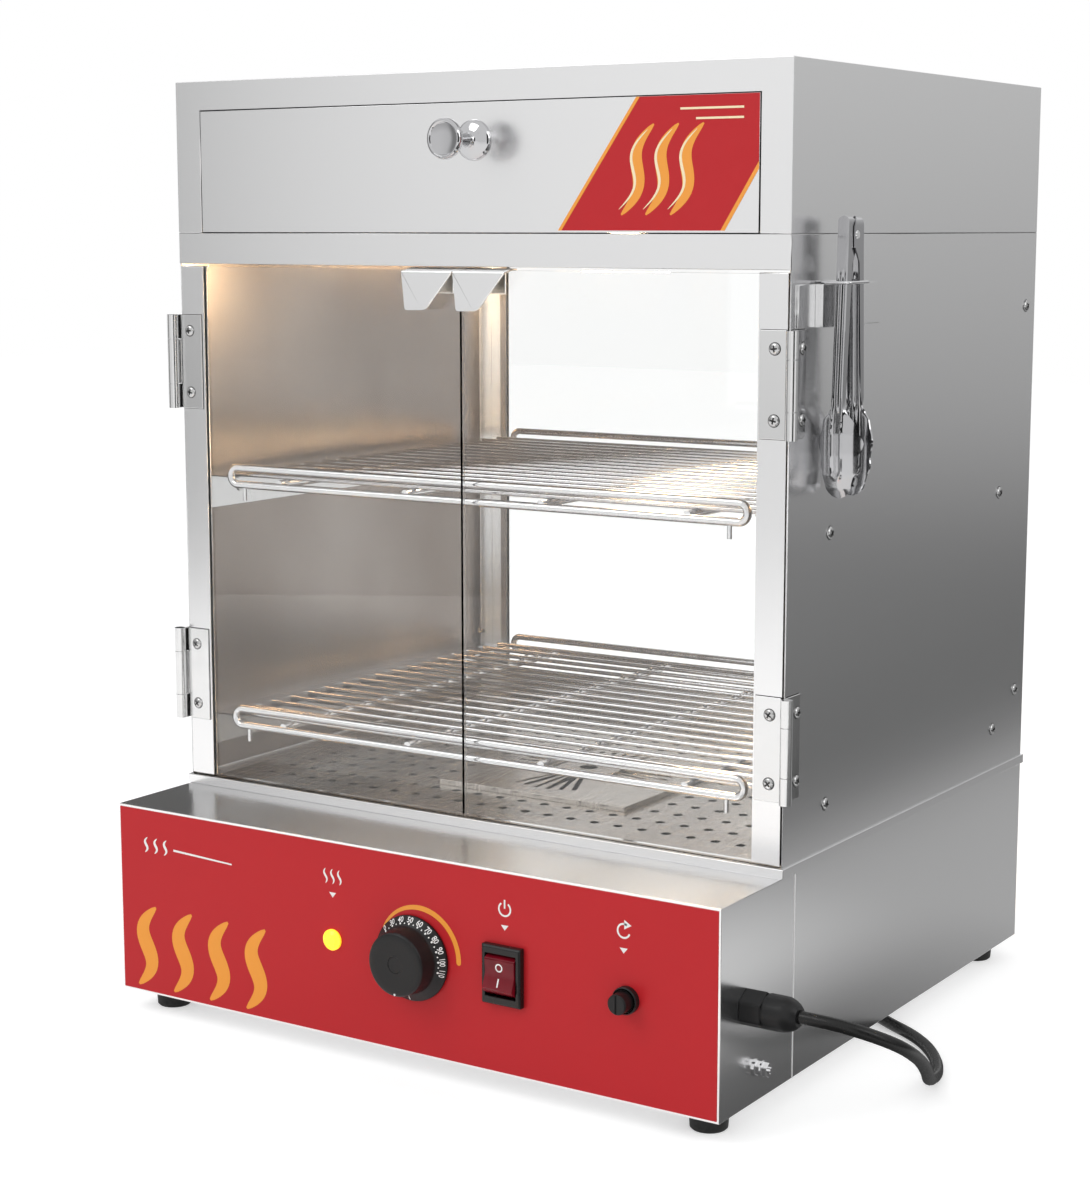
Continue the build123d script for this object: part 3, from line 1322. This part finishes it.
def head_outline():
    """Front view of a head, from its neck round the scalloped tip."""
    half = TONGS_HEAD_WIDTH / 2
    neck = TONGS_FRONT_WIDTH / 2
    points = [
        (neck, HEAD_TOP_Z + 6),
        (neck + 1.2, HEAD_TOP_Z),
        (half * 0.78, HEAD_WIDE_Z + 9),
        (half, HEAD_WIDE_Z),
        (half * 0.93, HEAD_WIDE_Z - 4),
        (half * 0.97, HEAD_WIDE_Z - 8),
        (half * 0.82, HEAD_WIDE_Z - 15),
        (half * 0.70, HEAD_WIDE_Z - 19),
        (half * 0.66, HEAD_WIDE_Z - 22),
        (half * 0.36, HEAD_TIP_Z + 2),
        (half * 0.12, HEAD_TIP_Z),
        (0, HEAD_TIP_Z + 1),
    ]
    return points + [(-x, z) for x, z in reversed(points[:-1])]


def head_shell(axis_offset, side):
    """Cupped head, turned about an upright axis and trimmed to its outline."""
    radius = TONGS_HEAD_RADIUS
    rings = [
        (radius, HEAD_TOP_Z + 8),
        (radius, HEAD_WIDE_Z - 4),
        (radius - 1.5, HEAD_WIDE_Z - 16),
        (radius - 5.5, HEAD_WIDE_Z - 26),
        (radius - 11.5, HEAD_TIP_Z - 1),
    ]
    inner = [(r - TONGS_SHEET, z) for r, z in reversed(rings)]
    start = (TONGS_X, TONGS_Y + side * axis_offset, 0)
    shell = turned(start, (0, 0, 1), rings + inner)
    reach = (axis_offset, axis_offset + 2 * radius)
    y_range = sorted(TONGS_Y + side * offset for offset in reach)
    corners = [(TONGS_X + x, y_range[0], z) for x, z in head_outline()]
    trim = extrude(make_face(Polyline(*corners, close=True)), amount=y_range[1] - y_range[0],
                   dir=(0, 1, 0))
    return shell & trim


def make_tongs_arm(side, width):
    """One arm: a channel with a cupped head; side is -1 in front and +1 behind."""
    x_low, x_high = TONGS_X - width / 2, TONGS_X + width / 2
    flange = [
        (TONGS_FACE_BOTTOM - 1, HEAD_WIDE_Z - 10),
        (TONGS_FACE_BOTTOM - 4, HEAD_TOP_Z + 2),
        (2.0, RIVET_Z - 17),
        (2.0, RIVET_Z + 5),
    ]
    open_back = [(-10, HEAD_WIDE_Z - 14), (-10, TONGS_TOP_Z)]

    def placed(outline):
        return [(TONGS_Y + side * offset, z) for offset, z in outline]

    arm = side_plate(placed(arm_outline(0, flange)), x_low, x_high)
    arm += rod((x_low, TONGS_Y, RIVET_Z), (1, 0, 0), width, TONGS_EAR_RADIUS)
    arm -= side_plate(placed(arm_outline(-TONGS_SHEET, open_back)), x_low + TONGS_SHEET,
                      x_high - TONGS_SHEET)
    arm -= rod((x_low, TONGS_Y, RIVET_Z), (1, 0, 0), width, TONGS_RIVET_RADIUS + TONGS_RIVET_FIT)
    ribs = arm_outline(TONGS_RIB, [])[1:] + list(reversed(arm_outline(-TONGS_SHEET / 2, [])[1:]))
    for rib_x in (-1.7, 1.7):
        arm += side_plate(placed(ribs), TONGS_X + rib_x - 0.5, TONGS_X + rib_x + 0.5)
    crown = Pos(TONGS_X, TONGS_Y, TONGS_TOP_Z - width / 2)
    arm_top = block((x_low, x_high), (TONGS_Y - 30, TONGS_Y + 30),
                    (TONGS_TOP_Z - width / 2, TONGS_TOP_Z + 1))
    arm -= arm_top - crown * Rot(90, 0, 0) * Cylinder(width / 2, 80)
    return arm + head_shell(TONGS_FACE_BOTTOM + 0.3 - TONGS_HEAD_RADIUS, side)


def make_tongs_rivet():
    half = TONGS_REAR_WIDTH / 2
    outline = [
        (0, -half - 0.6),
        (TONGS_RIVET_RADIUS + 0.5, -half - 0.6),
        (TONGS_RIVET_RADIUS + 0.9, -half),
        (TONGS_RIVET_RADIUS, -half),
        (TONGS_RIVET_RADIUS, half),
        (TONGS_RIVET_RADIUS + 0.9, half),
        (TONGS_RIVET_RADIUS + 0.5, half + 0.6),
        (0, half + 0.6),
    ]
    return turned((TONGS_X, TONGS_Y, RIVET_Z), (1, 0, 0), outline)


def make_tongs_ring():
    """Locking ring round both arms, hooked behind the holder's plate."""
    inner, outer = WALL_X + RING_INNER_X, WALL_X + RING_OUTER_X
    front, back = TONGS_Y - RING_FRONT, TONGS_Y + RING_REAR
    outline = RectangleRounded(outer - inner, back - front, RING_CORNER)
    path = Pos((inner + outer) / 2, (front + back) / 2, RING_Z) * outline.wire()
    return swept_rod(path, RING_WIRE)


# ---------------------------------------------------------------- assembly

LEFT_HANDLE_X = -HANDLE_GAP / 2 - HANDLE_WIDTH
RIGHT_HANDLE_X = HANDLE_GAP / 2

parts = {
    "feet": make_feet(),
    "bottom_plate": make_bottom_plate(),
    "base_shell": make_base_shell(),
    "control_housing": make_control_housing(),
    "control_panel_film": make_panel_film(),
    "plinth_rim": make_plinth_rim(),
    "water_pan": make_water_pan(),
    "perforated_tray": make_perforated_tray(),
    "steam_cover": make_steam_cover(),
    "heating_element": make_heating_element(),
    "left_side_panel": make_side_panel(-1),
    "right_side_panel": make_side_panel(1),
    "header_rail": make_header_rail(),
    "chamber_ceiling": make_chamber_ceiling(),
    "rear_frame": make_rear_frame(),
    "rear_glass": make_rear_glass(),
    "upper_rack_rails": make_rack_rails(UPPER_RACK_LEVEL),
    "lower_rack_rails": make_rack_rails(LOWER_RACK_LEVEL),
    "upper_rack": make_rack(UPPER_RACK_LEVEL),
    "lower_rack": make_rack(LOWER_RACK_LEVEL),
    "cabinet_screws": make_cabinet_screws(),
    "chamber_lamp_socket": make_chamber_lamp_socket(),
    "chamber_lamp_bulb": make_chamber_lamp_bulb(),
    "cabinet_hinge_leaves": make_cabinet_hinge_leaves(),
    "hinge_pins": make_hinge_pins(),
    "right_door_leaves": make_right_door_leaves(),
    "right_door_stile": make_right_door_stile(),
    "right_door_glass": make_right_door_glass(),
    "right_door_screws": make_right_door_screws(),
    "right_handle": make_handle(RIGHT_HANDLE_X),
    "left_door_leaves": mirrored(make_right_door_leaves()),
    "left_door_stile": mirrored(make_right_door_stile()),
    "left_door_glass": mirrored(make_right_door_glass()),
    "left_door_screws": mirrored(make_right_door_screws()),
    "left_handle": make_handle(LEFT_HANDLE_X),
    "hood": make_hood(),
    "drawer_runners": make_drawer_runners(),
    "drawer_front": make_drawer_front(),
    "drawer_box": make_drawer_box(),
    "drawer_knob": make_drawer_knob(),
    "drawer_knob_screw": make_drawer_knob_screw(),
    "indicator_lamp": make_indicator_lamp(),
    "thermostat_body": make_thermostat_body(),
    "thermostat_knob": make_thermostat_knob(),
    "thermostat_capillary": make_thermostat_capillary(),
    "switch_body": make_switch_body(),
    "rocker": make_rocker(),
    "cutout_body": make_cutout_body(),
    "reset_button": make_reset_button(),
    "terminal_block": make_terminal_block(),
    "cable_gland": make_cable_gland(),
    "ground_terminal": make_ground_terminal(),
    "cord_lead": make_cord_lead(),
    "cord_coil": make_cord_coil(),
    "plug": make_plug(),
    "tongs_holder": make_tongs_holder(),
    "tongs_front_arm": make_tongs_arm(-1, TONGS_FRONT_WIDTH),
    "tongs_rear_arm": make_tongs_arm(1, TONGS_REAR_WIDTH),
    "tongs_rivet": make_tongs_rivet(),
    "tongs_ring": make_tongs_ring(),
}

os.makedirs("parts", exist_ok=True)
for name, shape in parts.items():
    export_step(shape, os.path.join("parts", name + ".step"))
print(len(parts), "sub-parts written")
